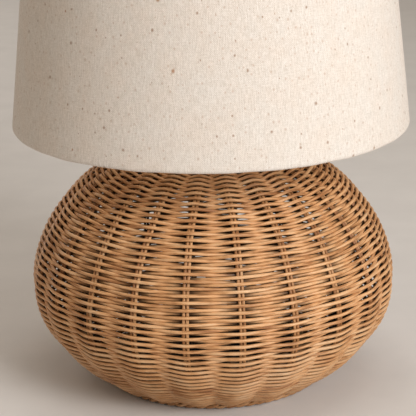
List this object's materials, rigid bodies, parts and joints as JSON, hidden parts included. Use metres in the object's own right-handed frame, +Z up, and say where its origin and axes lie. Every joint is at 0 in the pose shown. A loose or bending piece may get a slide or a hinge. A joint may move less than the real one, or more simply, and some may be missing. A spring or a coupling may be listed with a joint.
{
  "type": "table lamp with shade",
  "caption": "Table lamp with a squat round woven rattan base and a tapered linen drum shade on a harp, with a turn switch.",
  "frame": {"origin": "middle of the face that the lamp stands on", "axes": "+Z up, -Y the front with the switch, +Y the back with the lead's inlet"},
  "size_m": [0.3394, 0.3401, 0.46],
  "materials": {
    "rattan": "peeled rattan core, clear lacquer, satin",
    "rattan_stake": "peeled rattan core, clear lacquer, satin",
    "plywood": "sanded birch plywood",
    "felt": "pressed wool felt",
    "weight_iron": "cast, painted black",
    "aged_brass": "antique brass, brushed and lacquered",
    "harp_brass": "brass-plated steel wire, satin",
    "zinc_steel": "zinc plated",
    "socket_brass": "polished brass, lacquered",
    "socket_paper": "vulcanised fibre board",
    "black_phenolic": "moulded phenolic, semi-gloss",
    "nickel_shell": "drawn, satin",
    "black_glass": "fused glass, gloss",
    "frosted_glass": "inside-frosted glass",
    "coated_wire": "white powder coat",
    "shade_liner": "white styrene, matte",
    "linen": "plain-weave cotton-linen, unbleached with flecks"
  },
  "bodies": {
    "base": {"woven_body": "rattan", "weave_stakes": "rattan_stake", "foot_border": "rattan", "top_border": "rattan", "base_board": "plywood", "felt_base": "felt", "weight_disc": "weight_iron", "cord_bush": "aged_brass", "lamp_pipe": "zinc_steel", "bottom_washer": "zinc_steel", "bottom_nut": "zinc_steel", "top_disc": "plywood", "top_nut": "zinc_steel", "vase_cap": "aged_brass", "neck_spool": "aged_brass", "harp_saddle": "harp_brass", "harp_loop": "harp_brass", "harp_stud": "harp_brass", "socket_cap": "socket_brass", "socket_shell": "socket_brass", "socket_sleeve": "socket_paper", "socket_body": "black_phenolic", "screw_shell": "nickel_shell", "centre_contact": "socket_brass"},
    "switch": {"switch_knob": "black_phenolic"},
    "left_sleeve": {"harp_sleeve_left": "aged_brass"},
    "right_sleeve": {"harp_sleeve_right": "aged_brass"},
    "bulb": {"bulb_contact": "nickel_shell", "bulb_insulator": "black_glass", "bulb_cap": "nickel_shell", "bulb_glass": "frosted_glass"},
    "shade": {"spider_hub": "aged_brass", "spider_spokes": "harp_brass", "shade_top_ring": "coated_wire", "shade_bottom_ring": "coated_wire", "shade_liner": "shade_liner", "shade_fabric": "linen", "shade_seam": "linen"},
    "finial": {"finial": "aged_brass"}
  },
  "joints": [
    {"name": "switch_turn", "type": "hinge", "parent": "base", "child": "switch", "pos_m": [0, -0.02, 0.25299], "axis": [0, -1, 0], "continuous": true},
    {"name": "left_sleeve_lift", "type": "slide", "parent": "base", "child": "left_sleeve", "axis": [0, 0, 1], "range_m": [0, 0.016]},
    {"name": "right_sleeve_lift", "type": "slide", "parent": "base", "child": "right_sleeve", "axis": [0, 0, 1], "range_m": [0, 0.016]},
    {"name": "bulb_turn", "type": "hinge", "parent": "base", "child": "bulb", "pos_m": [0, 0, 0.275], "axis": [0, 0, 1], "continuous": true},
    {"name": "shade_turn", "type": "hinge", "parent": "base", "child": "shade", "pos_m": [0, 0, 0.432], "axis": [0, 0, 1], "continuous": true},
    {"name": "finial_turn", "type": "hinge", "parent": "base", "child": "finial", "pos_m": [0, 0, 0.44], "axis": [0, 0, 1], "continuous": true}
  ]
}
